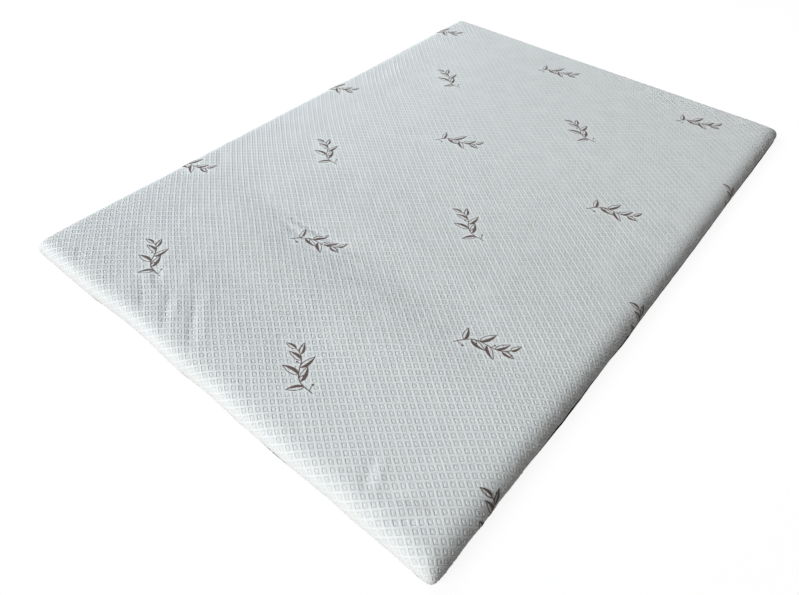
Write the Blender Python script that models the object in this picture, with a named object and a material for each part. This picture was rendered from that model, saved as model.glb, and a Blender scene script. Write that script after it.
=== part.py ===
"""A mattress topper of 140 by 200 cm: a foam filled knitted cover sewn to a thin base cloth.

Metres, +Z up. The origin is on the floor under the middle. +Y runs along the length, and
the near end is at -Y.
"""
import math

import bmesh
import bpy

# Overall size
WIDTH = 1.400
LENGTH = 2.000
EDGE_HEIGHT = 0.055
CROWN = 0.005
CROWN_POWER = 3.0

# The rounded edge, from the shoulder where the top begins to turn down, to the seam
ROUNDING = 0.045
UPPER_POWER = 2.2
WIDEST_HEIGHT = 0.014
TUCK = 0.005
UPPER_STEPS = 6
LOWER_STEPS = 3
CORNER_STEPS = 6
CORNER_POWER = 4.0

# The base cloth and the gap that keeps it clear of the cover
BASE_THICKNESS = 0.0025
GAP = 0.0003
BASE_INSET = 0.0005
SEAM_HEIGHT = BASE_THICKNESS + GAP

SHOULDER_X = WIDTH / 2 - ROUNDING
SHOULDER_Y = LENGTH / 2 - ROUNDING

# How the sides are drawn in: side, middle of the dip along it, half its length, depth
SIDE_DIPS = (
    ("right", -1.00, 0.90, 0.0090),
    ("right", 1.00, 0.90, 0.0090),
    ("near", -0.27, 0.20, 0.0045),
    ("near", 0.08, 0.12, 0.0020),
    ("near", 0.56, 0.12, 0.0012),
    ("left", -0.55, 0.22, 0.0018),
    ("left", 0.35, 0.40, 0.0022),
    ("far", -0.20, 0.32, 0.0020),
    ("far", 0.45, 0.16, 0.0012),
)
DIP_REACH_POWER = 6

# Creases in the cover: start x and y, end x and y, depth, half width. A ridge is negative
CREASES = (
    (-0.385, -0.820, -0.175, -0.990, 0.0036, 0.0120),
    (-0.335, -0.800, -0.120, -0.990, 0.0030, 0.0120),
    (-0.265, -0.820, -0.040, -0.995, 0.0034, 0.0130),
    (-0.300, -0.775, -0.215, -0.845, -0.0018, 0.0150),
    (-0.600, -0.905, -0.480, -0.995, 0.0020, 0.0140),
    (0.520, -0.985, 0.625, -0.895, -0.0022, 0.0130),
    (0.545, -0.995, 0.650, -0.925, 0.0018, 0.0110),
    (0.445, -0.915, 0.505, -0.985, 0.0016, 0.0120),
    (-0.655, -0.350, -0.560, -0.425, -0.0018, 0.0120),
    (-0.660, -0.380, -0.570, -0.450, 0.0020, 0.0120),
)

# Soft hollows and swells of the top: middle x and y, reach, depth. A swell is negative
HOLLOWS = (
    (-0.25, 0.10, 0.22, 0.0012),
    (0.32, -0.25, 0.26, -0.0010),
    (0.10, 0.62, 0.25, 0.0010),
    (-0.42, 0.70, 0.20, -0.0008),
    (0.38, 0.30, 0.18, 0.0008),
    (0.20, -0.74, 0.20, 0.0010),
)

# Grid lines over the top, closer together where the creases lie: end of the band, pitch
LINES_X = (
    (-0.560, 0.0240),
    (-0.400, 0.0400),
    (0.000, 0.0160),
    (0.440, 0.0440),
    (SHOULDER_X, 0.0180),
)
LINES_Y = (
    (-0.760, 0.0160),
    (-0.460, 0.0430),
    (-0.340, 0.0200),
    (SHOULDER_Y, 0.0463),
)

COVER_COLOUR = (0.62, 0.65, 0.66, 1.0)
BASE_COLOUR = (0.05, 0.05, 0.05, 1.0)
CLOTH_ROUGHNESS = 0.9
SHARP_ANGLE = math.radians(50)


def clear_scene():
    """Remove what the scene holds."""
    for thing in list(bpy.data.objects):
        bpy.data.objects.remove(thing, do_unlink=True)


def make_material(name, colour):
    """Return a matt cloth material."""
    material = bpy.data.materials.new(name)
    material.use_nodes = True
    shader = material.node_tree.nodes["Principled BSDF"]
    shader.inputs["Base Color"].default_value = colour
    shader.inputs["Roughness"].default_value = CLOTH_ROUGHNESS
    shader.inputs["Metallic"].default_value = 0.0
    return material


def bump(distance, reach):
    """Return 1 at no distance, falling smoothly to 0 at the reach."""
    if abs(distance) >= reach:
        return 0.0
    return math.cos(0.5 * math.pi * distance / reach) ** 2


def grid_lines(start, bands):
    """Return the places of the grid lines along one axis."""
    lines = [start]
    for end, pitch in bands:
        first = lines[-1]
        count = round((end - first) / pitch)
        lines += [first + (end - first) * step / count for step in range(1, count + 1)]
    return lines


def side_draw(side, along):
    """Return how far one side is drawn in at a place along it."""
    return sum(
        depth * bump(along - middle, half)
        for name, middle, half, depth in SIDE_DIPS
        if name == side
    )


def drawn_in(x, y):
    """Return a plan point moved by what draws the sides in."""
    reach_x = min(abs(x) / SHOULDER_X, 1.0) ** DIP_REACH_POWER
    reach_y = min(abs(y) / SHOULDER_Y, 1.0) ** DIP_REACH_POWER
    side_x = "right" if x > 0 else "left"
    side_y = "far" if y > 0 else "near"
    new_x = x - math.copysign(reach_x * side_draw(side_x, y), x)
    new_y = y - math.copysign(reach_y * side_draw(side_y, x), y)
    return new_x, new_y


def crease_depth(x, y):
    """Return how deep the creases are at a plan point."""
    depth = 0.0
    for x0, y0, x1, y1, deepest, half_width in CREASES:
        length = math.hypot(x1 - x0, y1 - y0)
        along_x = (x1 - x0) / length
        along_y = (y1 - y0) / length
        along = (x - x0) * along_x + (y - y0) * along_y
        across = (x - x0) * along_y - (y - y0) * along_x
        fade = bump(along - length / 2, length / 2)
        depth += deepest * fade * math.exp(-((across / half_width) ** 2))
    return depth


def top_height(x, y):
    """Return the height of the top at a plan point inside the shoulder."""
    rise_x = 1.0 - min(abs(x) / SHOULDER_X, 1.0) ** CROWN_POWER
    rise_y = 1.0 - min(abs(y) / SHOULDER_Y, 1.0) ** CROWN_POWER
    height = EDGE_HEIGHT + CROWN * rise_x * rise_y
    for middle_x, middle_y, reach, depth in HOLLOWS:
        height -= depth * bump(math.hypot(x - middle_x, y - middle_y), reach)
    return height - crease_depth(x, y)


def edge_profile():
    """Return the rings of the rounded edge: distance out, height, share of the creases."""
    rings = []
    for step in range(1, UPPER_STEPS + 1):
        angle = 0.5 * math.pi * step / UPPER_STEPS
        out = ROUNDING * math.sin(angle) ** (2 / UPPER_POWER)
        lift = max(math.cos(angle), 0.0) ** (2 / UPPER_POWER)
        height = WIDEST_HEIGHT + (EDGE_HEIGHT - WIDEST_HEIGHT) * lift
        rings.append((out, height, math.cos(angle)))
    for step in range(1, LOWER_STEPS + 1):
        angle = 0.5 * math.pi * step / LOWER_STEPS
        out = ROUNDING - TUCK * (1.0 - math.cos(angle))
        height = WIDEST_HEIGHT - (WIDEST_HEIGHT - SEAM_HEIGHT) * math.sin(angle)
        rings.append((out, height, 0.0))
    return rings


def rim_places(lines_x, lines_y):
    """Return the shoulder's points and outward directions, anticlockwise from the near left."""
    last_x = len(lines_x) - 1
    last_y = len(lines_y) - 1
    places = []
    places += [(column, 0, 0, -1) for column in range(last_x)]
    places += corner_fan(last_x, 0, -90)
    places += [(last_x, row, 1, 0) for row in range(1, last_y)]
    places += corner_fan(last_x, last_y, 0)
    places += [(column, last_y, 0, 1) for column in range(last_x - 1, 0, -1)]
    places += corner_fan(0, last_y, 90)
    places += [(0, row, -1, 0) for row in range(last_y - 1, 0, -1)]
    places += corner_fan(0, 0, 180)[:-1]
    return places


def corner_fan(column, row, start):
    """Return the directions in which the cover turns round one corner of the shoulder."""
    fan = []
    for step in range(CORNER_STEPS + 1):
        angle = math.radians(start + 90 * step / CORNER_STEPS)
        dx = math.cos(angle)
        dy = math.sin(angle)
        size = (abs(dx) ** CORNER_POWER + abs(dy) ** CORNER_POWER) ** (1 / CORNER_POWER)
        fan.append((column, row, dx / size, dy / size))
    return fan


def new_object(name, shape, material):
    """Make an object of the finished mesh."""
    mesh = bpy.data.meshes.new(name)
    shape.to_mesh(mesh)
    shape.free()
    mesh.shade_smooth()
    mesh.set_sharp_from_angle(angle=SHARP_ANGLE)
    mesh.materials.append(material)
    thing = bpy.data.objects.new(name, mesh)
    bpy.context.collection.objects.link(thing)
    return thing


def join_rings(shape, inner, outer):
    """Bridge two rings of vertices that run the same way round."""
    count = len(inner)
    for index in range(count):
        following = (index + 1) % count
        corners = [inner[index], outer[index], outer[following], inner[following]]
        if inner[index] is inner[following]:
            corners.pop()
        shape.faces.new(corners)


def close_flat(shape, ring, height, facing_up):
    """Close a ring with a flat fan of triangles about the middle."""
    middle = shape.verts.new((0.0, 0.0, height))
    count = len(ring)
    for index in range(count):
        following = ring[(index + 1) % count]
        if facing_up:
            shape.faces.new((ring[index], following, middle))
        else:
            shape.faces.new((following, ring[index], middle))


def make_cover(places, lines_x, lines_y):
    """Make the filled cover: crowned top, rounded edge, tucked seam and flat underside."""
    shape = bmesh.new()
    grid = []
    for y in lines_y:
        grid.append([shape.verts.new((*drawn_in(x, y), top_height(x, y))) for x in lines_x])
    for row in range(len(lines_y) - 1):
        for column in range(len(lines_x) - 1):
            near = grid[row]
            far = grid[row + 1]
            shape.faces.new((near[column], near[column + 1], far[column + 1], far[column]))
    inner = [grid[row][column] for column, row, _, _ in places]
    for out, height, share in edge_profile():
        outer = []
        for column, row, dx, dy in places:
            x = lines_x[column] + dx * out
            y = lines_y[row] + dy * out
            sink = share * crease_depth(x, y)
            plan_x, plan_y = drawn_in(x, y)
            outer.append(shape.verts.new((plan_x, plan_y, height - sink)))
        join_rings(shape, inner, outer)
        inner = outer
    close_flat(shape, inner, SEAM_HEIGHT, False)
    return new_object("filled_cover", shape, make_material("knitted cover", COVER_COLOUR))


def make_base(places, lines_x, lines_y):
    """Make the thin base cloth, cut to the outline of the cover."""
    shape = bmesh.new()
    rings = []
    for height in (0.0, BASE_THICKNESS):
        ring = []
        for column, row, dx, dy in places:
            x = lines_x[column] + dx * (ROUNDING - BASE_INSET)
            y = lines_y[row] + dy * (ROUNDING - BASE_INSET)
            plan_x, plan_y = drawn_in(x, y)
            ring.append(shape.verts.new((plan_x, plan_y, height)))
        rings.append(ring)
    low, high = rings
    close_flat(shape, low, 0.0, False)
    join_rings(shape, high, low)
    close_flat(shape, high, BASE_THICKNESS, True)
    return new_object("base_cloth", shape, make_material("base cloth", BASE_COLOUR))


def main():
    """Build the topper."""
    clear_scene()
    lines_x = grid_lines(-SHOULDER_X, LINES_X)
    lines_y = grid_lines(-SHOULDER_Y, LINES_Y)
    places = rim_places(lines_x, lines_y)
    make_cover(places, lines_x, lines_y)
    make_base(places, lines_x, lines_y)


main()
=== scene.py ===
"""The looks of a mattress topper: knitted diamond cover, leaf sprigs, base cloth, seam and stage.

Metres, +Z up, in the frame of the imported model. The near end is at -Y.
"""
import math

import bmesh
import bpy
import numpy as np
from mathutils import Matrix, Vector
from mathutils.kdtree import KDTree


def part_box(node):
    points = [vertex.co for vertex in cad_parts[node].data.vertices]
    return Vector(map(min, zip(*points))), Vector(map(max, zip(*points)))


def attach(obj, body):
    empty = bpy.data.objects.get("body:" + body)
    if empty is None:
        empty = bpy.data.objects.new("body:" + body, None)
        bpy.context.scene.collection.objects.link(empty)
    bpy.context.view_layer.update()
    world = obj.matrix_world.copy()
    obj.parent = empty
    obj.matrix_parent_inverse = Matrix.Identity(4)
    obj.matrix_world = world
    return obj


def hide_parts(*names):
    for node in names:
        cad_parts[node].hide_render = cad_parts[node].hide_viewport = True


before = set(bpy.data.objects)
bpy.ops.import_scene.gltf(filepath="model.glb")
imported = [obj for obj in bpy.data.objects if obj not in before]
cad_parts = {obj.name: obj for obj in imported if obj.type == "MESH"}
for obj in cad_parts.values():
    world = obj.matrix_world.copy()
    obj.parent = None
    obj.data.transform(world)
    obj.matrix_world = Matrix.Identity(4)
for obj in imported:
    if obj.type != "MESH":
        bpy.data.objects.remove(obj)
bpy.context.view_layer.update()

bl_info = {
    "name": "Mattress topper",
    "version": (1, 0, 0),
    "blender": (4, 5, 0),
    "location": "3D View > Sidebar > Topper",
    "description": "Builds a foam mattress topper in a diamond knit cover",
    "category": "Object",
}

# Overall size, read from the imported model
COVER_LOW, COVER_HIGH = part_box("filled_cover")
HALF_WIDTH = (COVER_HIGH.x - COVER_LOW.x) / 2
HALF_LENGTH = (COVER_HIGH.y - COVER_LOW.y) / 2
SEAM_HEIGHT = COVER_LOW.z
BASE_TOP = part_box("base_cloth")[1].z

# The form of the filled cover: height of the top at its edges, rise to its middle, and how flat
# that middle is
EDGE_HEIGHT = 0.055
CROWN = 0.005
CROWN_POWER = 3.0
# The rounded edge: reach, how square its upper part is, where it is widest, how far it tucks under
ROUNDING = 0.045
UPPER_POWER = 2.05
WIDEST_HEIGHT = 0.014
TUCK = 0.005
SHOULDER_X = HALF_WIDTH - ROUNDING
SHOULDER_Y = HALF_LENGTH - ROUNDING
# How quickly the dips of the sides fade away from them
DIP_REACH_POWER = 6
# How square each corner is, by the signs of x and y there
CORNER_POWERS = {(1, 1): 13.0, (1, -1): 5.2, (-1, -1): 7.0, (-1, 1): 4.0}
# How the top falls away before the rounded edge: reach inwards, how much more so towards the near
# end, and depth for each side
FALL_REACH = 0.075
FALL_SLANT = 0.45
FALL_DEPTHS = {"right": 0.0060, "left": 0.0010, "near": 0.0045, "far": 0.0020}

# How the sides are drawn in: side, middle of the dip along it, half its length, depth
SIDE_DIPS = (
    ("right", -1.00, 0.90, 0.0050),
    ("right", 1.00, 0.90, 0.0045),
    ("near", -0.25, 0.24, 0.0080),
    ("near", 0.04, 0.13, 0.0045),
    ("near", 0.42, 0.10, 0.0020),
    ("near", 0.58, 0.10, 0.0010),
    ("left", -0.55, 0.22, 0.0018),
    ("left", 0.35, 0.40, 0.0022),
    ("far", -0.20, 0.32, 0.0020),
    ("far", 0.45, 0.16, 0.0012),
)

# Creases in the cover: start x and y, end x and y, depth, half width. A ridge is negative
CREASES = (
    (-0.365, -0.825, -0.270, -0.905, 0.0032, 0.0100),
    (-0.352, -0.880, -0.222, -0.990, 0.0039, 0.0100),
    (-0.285, -0.845, -0.120, -1.000, 0.0043, 0.0098),
    (-0.235, -0.802, -0.015, -0.995, 0.0044, 0.0100),
    (-0.375, -0.845, -0.270, -0.940, -0.0018, 0.0085),
    (-0.300, -0.775, -0.215, -0.845, -0.0016, 0.0120),
    (-0.245, -0.850, -0.110, -0.975, -0.0020, 0.0085),
    (-0.190, -0.800, -0.020, -0.950, -0.0018, 0.0090),
    (-0.600, -0.905, -0.480, -0.995, 0.0018, 0.0120),
    (0.515, -0.985, 0.615, -0.892, -0.0052, 0.0090),
    (0.535, -0.998, 0.645, -0.900, 0.0044, 0.0105),
    (0.480, -0.968, 0.566, -0.885, 0.0034, 0.0085),
    (0.445, -0.860, 0.495, -0.985, 0.0034, 0.0095),
    (0.465, -0.860, 0.515, -0.960, -0.0026, 0.0090),
    (-0.655, -0.350, -0.560, -0.425, -0.0018, 0.0120),
    (-0.660, -0.380, -0.570, -0.450, 0.0020, 0.0120),
)

# Creases and ridges that are too fine for the solid, in the same columns
FINE_CREASES = (
    (-0.360, -0.478, 0.060, -0.462, 0.0032, 0.0080),
    (-0.320, -0.492, -0.060, -0.515, 0.0030, 0.0080),
    (-0.330, -0.488, 0.120, -0.484, -0.0019, 0.0080),
    (-0.640, -0.420, -0.560, -0.480, -0.0009, 0.0080),
    (-0.520, -0.850, -0.380, -0.960, 0.0010, 0.0080),
    (-0.660, -0.840, -0.540, -0.940, 0.0008, 0.0080),
    (-0.230, -0.760, -0.100, -0.865, -0.0010, 0.0090),
    (0.080, -0.905, 0.200, -0.990, 0.0010, 0.0090),
    (0.230, -0.890, 0.330, -0.975, 0.0010, 0.0090),
    (0.420, -0.870, 0.480, -0.915, -0.0008, 0.0080),
    (0.590, -0.870, 0.650, -0.935, 0.0009, 0.0080),
    (0.480, -0.985, 0.560, -0.905, 0.0010, 0.0080),
    (-0.420, -0.350, -0.280, -0.420, 0.0006, 0.0100),
    (0.100, -0.560, 0.260, -0.680, 0.0007, 0.0100),
    (0.160, -0.520, 0.330, -0.650, -0.0006, 0.0100),
    (-0.640, 0.310, -0.600, 0.250, -0.0009, 0.0090),
)

# Soft hollows and swells of the top: middle x and y, reach along x and y, depth. A swell is
# negative
HOLLOWS = (
    (-0.25, 0.10, 0.22, 0.22, 0.0012),
    (0.32, -0.25, 0.26, 0.26, -0.0010),
    (0.10, 0.62, 0.25, 0.25, 0.0010),
    (-0.42, 0.70, 0.20, 0.20, -0.0008),
    (0.38, 0.30, 0.18, 0.18, 0.0008),
    (0.20, -0.450, 0.60, 0.130, 0.0046),
    (-0.14, -0.470, 0.34, 0.130, 0.0046),
    (0.26, -0.620, 0.46, 0.120, -0.0034),
    (-0.14, -0.640, 0.30, 0.120, -0.0032),
    (0.17, -0.800, 0.22, 0.120, 0.0038),
    (-0.45, -0.420, 0.16, 0.130, 0.0030),
)

# Ripples of the rounded edge: side, wave length, depth, where the wave starts
EDGE_RIPPLES = (
    ("right", 0.0980, 0.0012, 0.020),
    ("right", 0.0430, 0.0007, 0.011),
    ("left", 0.0870, 0.0008, 0.031),
    ("left", 0.0390, 0.0005, 0.004),
    ("near", 0.0910, 0.0008, 0.050),
    ("near", 0.0370, 0.0005, 0.017),
    ("far", 0.0930, 0.0008, 0.027),
    ("far", 0.0410, 0.0005, 0.009),
)
# How uneven the waves of the ripples are, and over how many of their lengths that changes
RIPPLE_BEND = 1.05
RIPPLE_BEND_LENGTH = 5.3
# The seam: share of the edge that it draws together, how much of the ripples it holds back, length
# and depth of its puckers
SEAM_ZONE = 0.3
SEAM_HOLD = 0.6
SEAM_PUCKER_PITCH = 0.0165
SEAM_PUCKER_DEPTH = 0.0006
# Step on the cloth over which its normals are taken, and the least length that one may have
NORMAL_STEP = 0.0015
SHORTEST = 1e-12

# How the knit is stretched or sheared over the foam: direction moved, direction along which that
# changes, middle of the change, half its length, share
PULLS = (
    ("x", "y", -0.84, 0.28, -0.115),
    ("x", "y", -0.20, 0.24, -0.055),
    ("y", "y", -0.42, 0.26, -0.035),
    ("y", "y", 0.62, 0.32, 0.065),
    ("x", "x", -0.58, 0.12, -0.050),
    ("x", "x", -0.36, 0.12, 0.070),
)
# How far the rows sag between the sides, and the y at which that starts
ROW_SAG = 0.075
ROW_SAG_START = -0.5

# How far the flat net reaches past the panel before it is trimmed, and distances at which points
# of its diamonds, and of trimmed cloth, are made one
NET_MARGIN_X = 0.06
NET_MARGIN_Y = 0.03
TILE_MERGE = 0.0002
TRIM_MERGE = 0.00015

# Relief of one diamond: how far in from its edge the ring and the middle lie, as shares, and the
# levels of the knit on the ridge, in the ring, in the middle, and where it is calm
RING_INSET = 0.46
MIDDLE_INSET = 0.65
RIDGE_LEVEL = 1.0
RING_LEVEL = 0.0
MIDDLE_LEVEL = 0.45
CALM_LEVEL = 0.75
# Width of the band along the seam in which the relief fades away
RELIEF_FADE = 0.010
# Edges that bend more than this are sharp, on the knit and on the rest
KNIT_SHARP_ANGLE = math.radians(60)
SHARP_ANGLE = math.radians(50)

# Camera, solved from the outline of the topper in the photograph. Its turns are in radians, its
# sensor is in millimetres, and the width and focal length of the picture are in pixels
IMAGE_WIDTH = 799
CAMERA_PLACE = (0.8745, -1.3435, 1.1800)
CAMERA_YAW = 2.2469
CAMERA_PITCH = 0.8126
CAMERA_ROLL = 0.0260
FOCAL_PIXELS = 613.5
SENSOR_WIDTH = 36.0

# Light: places and sizes of the lamps, their colours, and the colour of the even light
FILL_PLACE = (-2.0, 0.1, 2.3)
FILL_SIZE = 1.5
NEAR_PLACE = (0.1, -1.9, 0.8)
NEAR_AIM = (0.1, -0.9, 0.0)
NEAR_SIZE = (1.6, 0.4)
KEY_COLOUR = (1.0, 1.0, 0.985)
FILL_COLOUR = (0.90, 1.0, 1.07)
NEAR_COLOUR = (0.78, 0.95, 1.18)
AMBIENT_COLOUR = (1.0, 0.975, 0.93, 1.0)
WHITE = (1.0, 1.0, 1.0, 1.0)
# Brightness of the backdrop, and how softly the light that comes back from the floor changes from
# the lit side to the shaded one and at the horizon
BACKDROP_STRENGTH = 0.95
BOUNCE_SPREAD = 0.7
HORIZON_SPREAD = 0.05
# How far the floor goes, and how far the camera sees
FLOOR_REACH = 30.0
VIEW_REACH = 100.0


# ---------------------------------------------------------------- settings


class TopperKnitSettings(bpy.types.PropertyGroup):
    """Sizes and colours of the knitted cover."""

    across: bpy.props.FloatProperty(
        name="Diamond width", description="Width of one diamond", default=0.0277, unit="LENGTH"
    )
    along: bpy.props.FloatProperty(
        name="Diamond length", description="Length of one diamond", default=0.0220, unit="LENGTH"
    )
    lean: bpy.props.FloatProperty(
        name="Lean", description="Angle by which the columns lean",
        default=math.radians(1.0), unit="ROTATION",
    )
    relief: bpy.props.FloatProperty(
        name="Relief", description="Height of the ridges above the rings",
        default=0.0020, unit="LENGTH",
    )
    line_colour: bpy.props.FloatVectorProperty(
        name="Ridges", description="Colour of the ridges",
        default=(0.775, 0.788, 0.790), subtype="COLOR",
    )
    # The rings' grey is their yarn, darkened with painted shade of their sunk groove
    ring_yarn_and_shade_colour: bpy.props.FloatVectorProperty(
        name="Rings", description="Colour of the rings between the ridges",
        default=(0.585, 0.597, 0.598), subtype="COLOR",
    )
    fill: bpy.props.FloatProperty(
        name="Fill", description="How full the cover is", default=0.85, subtype="FACTOR"
    )


class TopperSprigSettings(bpy.types.PropertyGroup):
    """Sizes and colour of the leaf sprigs."""

    length: bpy.props.FloatProperty(
        name="Length", description="Length of one sprig", default=0.150, unit="LENGTH"
    )
    spacing_across: bpy.props.FloatProperty(
        name="Spacing across", description="Distance between sprigs in a row",
        default=0.560, unit="LENGTH",
    )
    spacing_along: bpy.props.FloatProperty(
        name="Spacing along", description="Distance between rows", default=0.660, unit="LENGTH"
    )
    tilt: bpy.props.FloatProperty(
        name="Tilt", description="Turn of the sprigs, one way and then the other",
        default=math.radians(28), unit="ROTATION",
    )
    colour: bpy.props.FloatVectorProperty(
        name="Yarn", description="Colour of the sprigs",
        default=(0.115, 0.078, 0.070), subtype="COLOR",
    )


class TopperSeamSettings(bpy.types.PropertyGroup):
    """Sizes and colours of the base cloth and its seam."""

    # A near-black that stands partly for the base cloth and partly for painted contact shadow under
    # the cover's edge
    base_and_shadow_colour: bpy.props.FloatVectorProperty(
        name="Base cloth", description="Colour of the base cloth",
        default=(0.022, 0.022, 0.023), subtype="COLOR",
    )
    thread_colour: bpy.props.FloatVectorProperty(
        name="Thread", description="Colour of the seam thread",
        default=(0.62, 0.64, 0.65), subtype="COLOR",
    )
    pitch: bpy.props.FloatProperty(
        name="Stitch pitch", description="Distance between stitches", default=0.0050, unit="LENGTH"
    )
    thread: bpy.props.FloatProperty(
        name="Thread width", description="Width of the thread", default=0.0006, unit="LENGTH"
    )


class TopperStageSettings(bpy.types.PropertyGroup):
    """Floor and light."""

    floor_colour: bpy.props.FloatVectorProperty(
        name="Floor", description="Colour of the floor", default=(0.10, 0.10, 0.10), subtype="COLOR"
    )
    floor_glow: bpy.props.FloatProperty(
        name="Floor glow", description="Light that the pale floor gives of itself", default=0.90
    )
    key_strength: bpy.props.FloatProperty(
        name="Key light", description="Strength of the soft light from the near end", default=3.53
    )
    key_height: bpy.props.FloatProperty(
        name="Key height", description="Height of the key light above the floor as an angle",
        default=math.radians(34.5), unit="ROTATION",
    )
    key_turn: bpy.props.FloatProperty(
        name="Key turn", description="Turn of the key light from the left towards the near end",
        default=math.radians(66), unit="ROTATION",
    )
    key_spread: bpy.props.FloatProperty(
        name="Key spread", description="Size of the key light as an angle, for soft shadows",
        default=math.radians(32), unit="ROTATION",
    )
    fill_power: bpy.props.FloatProperty(
        name="Fill light", description="Power of the soft light on the left",
        default=47.0, unit="POWER",
    )
    near_power: bpy.props.FloatProperty(
        name="Near light", description="Power of the low soft light at the near end",
        default=1.0, unit="POWER",
    )
    ambient: bpy.props.FloatProperty(
        name="Ambient", description="Strength of the light from above and all round", default=0.06
    )
    bounce_lit: bpy.props.FloatProperty(
        name="Bounce, lit side", description="Light that comes back from the floor on the lit side",
        default=0.72,
    )
    bounce_shade: bpy.props.FloatProperty(
        name="Bounce, shaded side", description="Light that comes back from the floor in the shade",
        default=0.55,
    )


# ---------------------------------------------------------------- form of the cover


def bump(distance, reach):
    """Return 1 at no distance, falling smoothly to 0 at the reach."""
    near = np.clip(np.abs(distance) / reach, 0.0, 1.0)
    return np.cos(0.5 * np.pi * near) ** 2


def smooth_step(value, low, high):
    """Return 0 below the low value and 1 above the high one, with a smooth rise between."""
    share = np.clip((value - low) / (high - low), 0.0, 1.0)
    return share * share * (3 - 2 * share)


def side_draw(side, along):
    """Return how far one side is drawn in at places along it."""
    draw = np.zeros_like(along)
    for name, middle, half, depth in SIDE_DIPS:
        if name == side:
            draw += depth * bump(along - middle, half)
    return draw


def edge_ripple(side, along):
    """Return how far the rounded edge of one side ripples inwards."""
    ripple = np.zeros_like(along)
    for name, length, depth, start in EDGE_RIPPLES:
        if name == side:
            bend = RIPPLE_BEND * np.sin(2 * np.pi * along / (RIPPLE_BEND_LENGTH * length) + start)
            wave = np.sin(2 * np.pi * (along + start) / length + bend)
            ripple += 0.5 * depth * (1 + wave)
    return ripple


def drawn_in(x, y, ripple_share):
    """Return plan points moved by what draws the sides in, and by the ripples of the edge."""
    reach_x = np.minimum(np.abs(x) / SHOULDER_X, 1.0) ** DIP_REACH_POWER
    reach_y = np.minimum(np.abs(y) / SHOULDER_Y, 1.0) ** DIP_REACH_POWER
    pull_x = np.where(x > 0, side_draw("right", y), side_draw("left", y))
    pull_y = np.where(y > 0, side_draw("far", x), side_draw("near", x))
    past_x = ripple_share * np.clip((np.abs(x) - SHOULDER_X) / ROUNDING, 0, 1)
    past_y = ripple_share * np.clip((np.abs(y) - SHOULDER_Y) / ROUNDING, 0, 1)
    wave_x = np.where(x > 0, edge_ripple("right", y), edge_ripple("left", y))
    wave_y = np.where(y > 0, edge_ripple("far", x), edge_ripple("near", x))
    new_x = x - np.sign(x) * (reach_x * pull_x + past_x * wave_x)
    new_y = y - np.sign(y) * (reach_y * pull_y + past_y * wave_y)
    return new_x, new_y


def crease_depth(x, y):
    """Return how deep the creases are at plan points."""
    depth = np.zeros_like(x)
    for x0, y0, x1, y1, deepest, half_width in CREASES + FINE_CREASES:
        length = math.hypot(x1 - x0, y1 - y0)
        along_x = (x1 - x0) / length
        along_y = (y1 - y0) / length
        along = (x - x0) * along_x + (y - y0) * along_y
        across = (x - x0) * along_y - (y - y0) * along_x
        fade = bump(along - length / 2, length / 2)
        depth += deepest * fade * np.exp(-((across / half_width) ** 2))
    return depth


def top_height(x, y):
    """Return the height of the top at plan points, without its creases."""
    rise_x = 1.0 - np.minimum(np.abs(x) / SHOULDER_X, 1.0) ** CROWN_POWER
    rise_y = 1.0 - np.minimum(np.abs(y) / SHOULDER_Y, 1.0) ** CROWN_POWER
    height = CROWN * rise_x * rise_y
    for middle_x, middle_y, reach_x, reach_y, depth in HOLLOWS:
        away = np.hypot((x - middle_x) / reach_x, (y - middle_y) / reach_y)
        height = height - depth * bump(away, 1.0)
    return height


def edge_fall(x, y):
    """Return how far the top has fallen away before the rounded edges at plan points."""
    over_x = np.clip((np.abs(x) - SHOULDER_X + FALL_REACH) / (FALL_REACH + ROUNDING), 0.0, 1.0)
    over_y = np.clip((np.abs(y) - SHOULDER_Y + FALL_REACH) / (FALL_REACH + ROUNDING), 0.0, 1.0)
    depth_x = np.where(x > 0, FALL_DEPTHS["right"], FALL_DEPTHS["left"])
    depth_y = np.where(y > 0, FALL_DEPTHS["far"], FALL_DEPTHS["near"])
    return depth_x * (1.0 - FALL_SLANT * y) * over_x ** 2 + depth_y * over_y ** 2


def corner_power(x, y):
    """Return how square the corner is that plan points belong to."""
    right = np.where(y > 0, CORNER_POWERS[1, 1], CORNER_POWERS[1, -1])
    left = np.where(y > 0, CORNER_POWERS[-1, 1], CORNER_POWERS[-1, -1])
    return np.where(x > 0, right, left)


def edge_table(samples=160):
    """Return the rounded edge: length along the cloth, reach, height, share of the creases."""
    angle = np.linspace(0, 0.5 * np.pi, samples)
    rise = np.maximum(np.cos(angle), 0.0)
    upper_out = ROUNDING * np.sin(angle) ** (2 / UPPER_POWER)
    upper_height = WIDEST_HEIGHT + (EDGE_HEIGHT - WIDEST_HEIGHT) * rise ** (2 / UPPER_POWER)
    lower_out = ROUNDING - TUCK * (1.0 - np.cos(angle))
    lower_height = WIDEST_HEIGHT - (WIDEST_HEIGHT - SEAM_HEIGHT) * np.sin(angle)
    out = np.concatenate((upper_out, lower_out[1:]))
    height = np.concatenate((upper_height, lower_height[1:]))
    share = np.concatenate((rise, np.zeros(samples - 1)))
    steps = np.hypot(np.diff(out), np.diff(height))
    return np.concatenate(([0.0], np.cumsum(steps))), out, height, share


EDGE_CLOTH, EDGE_OUT, EDGE_RISE, EDGE_SHARE = edge_table()
EDGE_REACH = EDGE_CLOTH[-1]
PANEL_X = SHOULDER_X + EDGE_REACH
PANEL_Y = SHOULDER_Y + EDGE_REACH


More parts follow.
